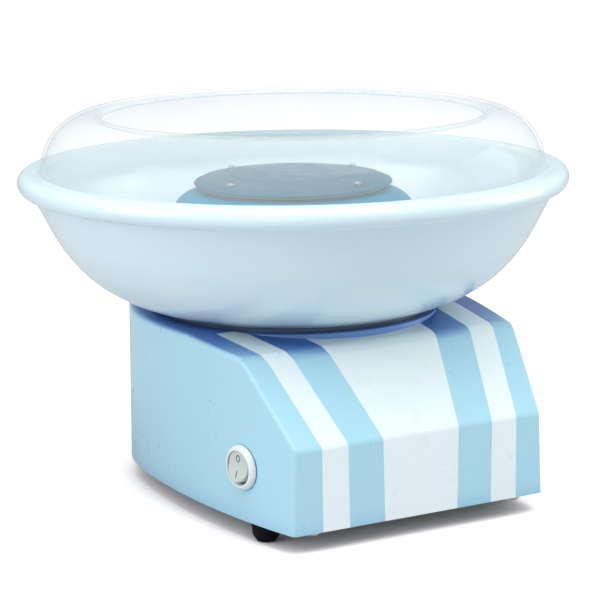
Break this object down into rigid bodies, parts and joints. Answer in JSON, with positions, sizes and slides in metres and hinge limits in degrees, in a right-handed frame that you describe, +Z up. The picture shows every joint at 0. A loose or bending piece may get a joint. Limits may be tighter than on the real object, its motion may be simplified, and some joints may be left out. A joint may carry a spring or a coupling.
{
  "type": "cotton candy machine",
  "caption": "Tabletop cotton candy machine: moulded base with a switch, lift-off bowl with a clear splash ring, and a heated spinning head driven by a motor.",
  "frame": {"origin": "on the table, at the centre of the bounding box, below the motor's axis", "axes": "+Z up along the motor's axis, the sloped front faces -Y, +X to the right of someone who faces the front"},
  "size_m": [0.29, 0.29, 0.2015],
  "materials": {
    "blue_plastic": "smooth moulded",
    "pale_plastic": "smooth moulded",
    "clear_plastic": "clear, polished",
    "slate_plastic": "satin",
    "white_plastic": "satin",
    "black_rubber": "matt",
    "black_plastic": "matt",
    "aluminium": "spun",
    "steel": "satin",
    "brass": "plain",
    "bronze": "sintered",
    "ceramic": "unglazed",
    "ferrite": "matt",
    "board_green": "lacquered",
    "red_wire": "insulation",
    "blue_wire": "insulation"
  },
  "bodies": {
    "base": {"base_housing": "blue_plastic", "bottom_cover": "white_plastic", "foot_front_left": "black_rubber", "foot_front_right": "black_rubber", "foot_back_left": "black_rubber", "foot_back_right": "black_rubber", "cover_screw_front_left": "steel", "cover_screw_front_right": "steel", "cover_screw_back_left": "steel", "cover_screw_back_right": "steel", "switch_body": "white_plastic", "switch_terminal_1": "brass", "switch_terminal_2": "brass", "cord_grommet": "black_rubber", "heater_shroud": "slate_plastic", "heater_pan": "aluminium", "heating_ring": "steel", "ceramic_post_1": "ceramic", "ceramic_post_2": "ceramic", "ceramic_post_3": "ceramic", "thermal_fuse": "steel", "motor_plate": "steel", "plate_screw_1": "steel", "plate_screw_2": "steel", "plate_screw_3": "steel", "motor_can": "steel", "motor_end_bell": "black_plastic", "motor_bush_upper": "bronze", "motor_bush_lower": "bronze", "motor_magnet_left": "ferrite", "motor_magnet_right": "ferrite", "motor_brush_left": "ferrite", "motor_brush_right": "ferrite", "circuit_board": "board_green", "board_post_front": "white_plastic", "board_post_back": "white_plastic", "rectifier": "black_plastic", "capacitor": "aluminium", "terminal_block": "white_plastic", "lead_switch": "blue_wire", "lead_motor": "red_wire", "lead_heater": "red_wire"},
    "bowl": {"bowl": "pale_plastic"},
    "ring": {"clear_ring": "clear_plastic"},
    "rocker": {"switch_rocker": "white_plastic"},
    "rotor": {"motor_shaft": "steel", "drive_pin": "steel", "motor_armature": "bronze", "motor_commutator": "brass"},
    "head": {"head_pan": "aluminium", "head_band": "steel", "head_cover": "slate_plastic", "head_screw_1": "steel", "head_screw_2": "steel", "head_screw_3": "steel", "head_screw_4": "steel"}
  },
  "joints": [
    {"name": "head_spin", "type": "hinge", "parent": "base", "child": "rotor", "pos_m": [0, 0, 0.1], "axis": [0, 0, 1], "continuous": true},
    {"name": "head_lift", "type": "slide", "parent": "rotor", "child": "head", "axis": [0, 0, 1], "range_m": [0, 0.06]},
    {"name": "bowl_lift", "type": "slide", "parent": "base", "child": "bowl", "axis": [0, 0, 1], "range_m": [0, 0.09]},
    {"name": "ring_lift", "type": "slide", "parent": "bowl", "child": "ring", "axis": [0, 0, 1], "range_m": [0, 0.05]},
    {"name": "switch_tip", "type": "hinge", "parent": "base", "child": "rocker", "pos_m": [-0.0775, -0.08202, 0.03778], "axis": [0.1284, -0.9913, -0.0294], "range_deg": [0, 18]}
  ]
}
